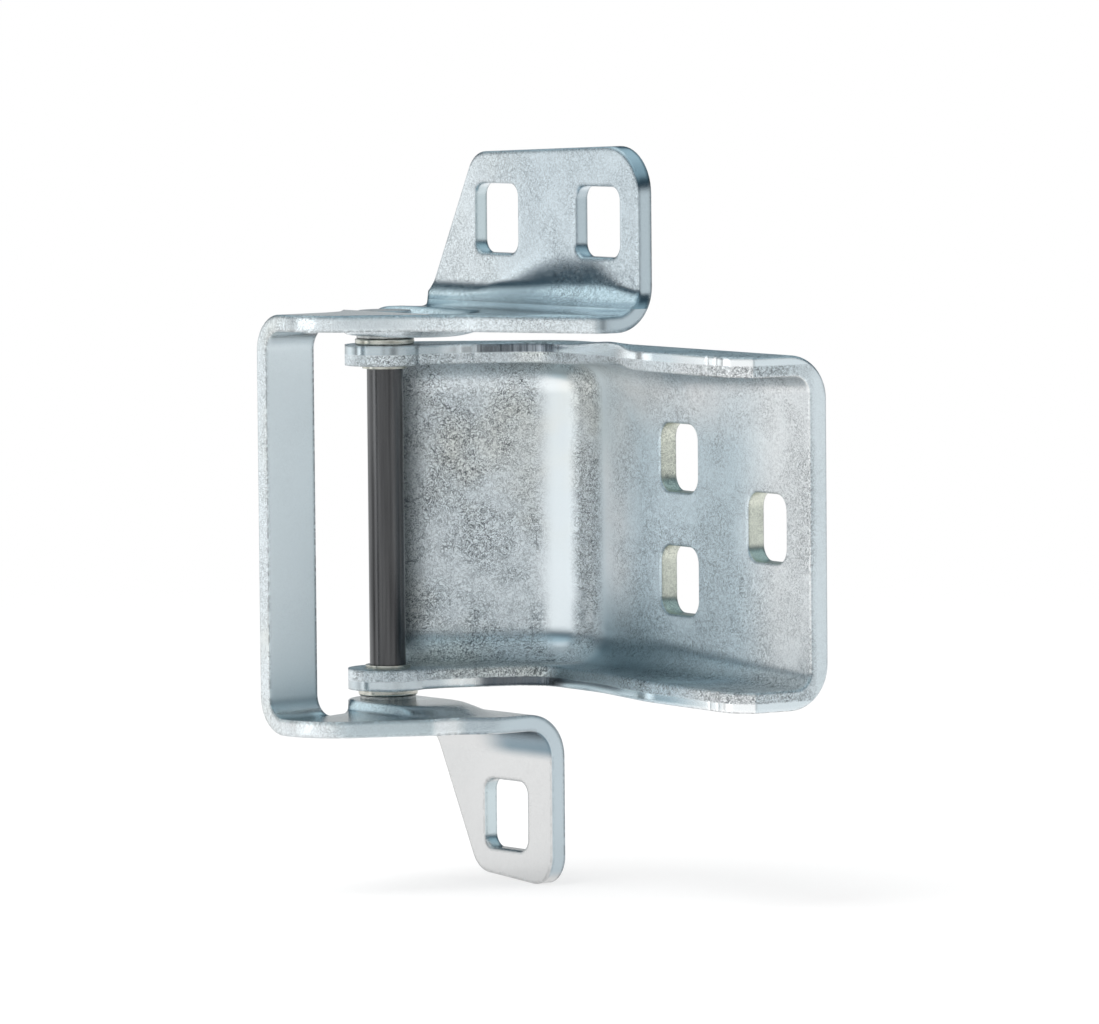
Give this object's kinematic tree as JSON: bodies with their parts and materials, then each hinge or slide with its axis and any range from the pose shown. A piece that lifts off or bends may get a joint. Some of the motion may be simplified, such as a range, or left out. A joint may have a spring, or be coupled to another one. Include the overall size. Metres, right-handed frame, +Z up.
{
  "type": "door hinge",
  "caption": "Stamped steel vehicle door hinge: a folded strap with slotted bolting tabs and a deep slotted channel leaf that turn about an upright pin in flanged bushes.",
  "frame": {"origin": "on the upper tab's bolting face, midway between its two slots", "axes": "+Z up along the pin, -Y out of the tabs' bolting face, +X along the upper tab away from the pin"},
  "size_m": [0.1394, 0.0962, 0.1936],
  "materials": {
    "strap_zinc": "bright zinc plate on pressed steel, satin, finely speckled",
    "channel_zinc": "bright zinc plate on pressed steel, finely speckled, smooth cut edges",
    "pin_steel": "black oxide on turned steel, oiled",
    "bush_metal": "plain drawn metal, faint bronze tint",
    "washer_zinc": "zinc plated steel, dull"
  },
  "bodies": {
    "strap": {"strap_leaf": "strap_zinc", "hinge_pin": "pin_steel", "upper_washer": "washer_zinc", "lower_washer": "washer_zinc"},
    "channel": {"channel_leaf": "channel_zinc", "upper_bush": "bush_metal", "lower_bush": "bush_metal"}
  },
  "joints": [
    {"name": "pin_turn", "type": "hinge", "parent": "strap", "child": "channel", "pos_m": [-0.04175, -0.0214, -0.0782], "axis": [0, 0, 1], "range_deg": [-120, 110]}
  ]
}
